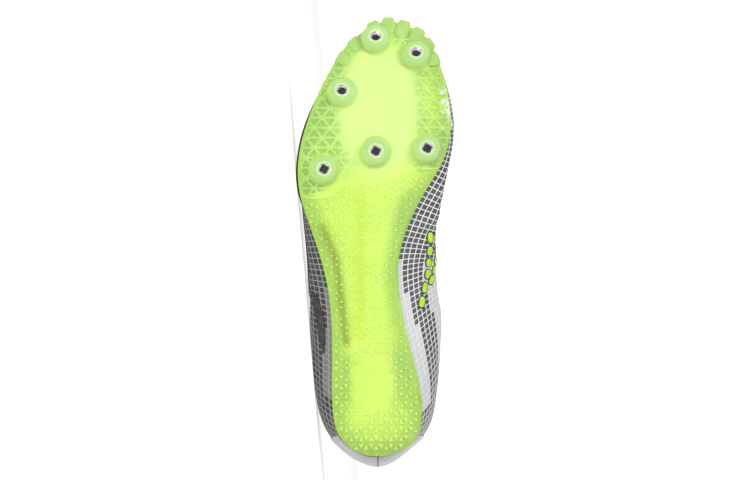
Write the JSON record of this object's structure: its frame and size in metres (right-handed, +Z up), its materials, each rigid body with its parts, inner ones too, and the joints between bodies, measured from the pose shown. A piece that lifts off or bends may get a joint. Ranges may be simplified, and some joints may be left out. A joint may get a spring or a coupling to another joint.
{
  "type": "track spike shoe",
  "caption": "Low-cut sprint spike running shoe for the right foot, lying on its outer side: ripstop upper, studless spike plate with threaded sockets and nubbed outsole.",
  "frame": {"origin": "centre of the shoe's footprint on the floor it lies on, at floor height", "axes": "+X from toe to heel, -Y out of the sole, +Z up towards the inner side of the foot, with the shoe lying on its outer side"},
  "size_m": [0.2846, 0.1135, 0.102],
  "materials": {
    "lime_plate": "gloss",
    "lime_rubber": "satin",
    "foam": "matte",
    "lining": "matte",
    "ripstop": "satin",
    "tongue_cloth": "matte",
    "film": "satin",
    "eyestay_film": "satin",
    "steel": "polished",
    "lace": "matte"
  },
  "bodies": {
    "root": {"spike_plate": "lime_plate", "outsole": "lime_rubber", "midsole": "foam", "insole": "lining", "upper": "ripstop", "tongue": "tongue_cloth", "heel_counter": "film", "eyestay": "eyestay_film", "socket_1": "steel", "socket_2": "steel", "socket_3": "steel", "socket_4": "steel", "socket_5": "steel", "socket_6": "steel", "lace_1": "lace", "lace_2": "lace", "lace_3": "lace", "lace_4": "lace", "lace_5": "lace", "lace_6": "lace"}
  },
  "joints": []
}
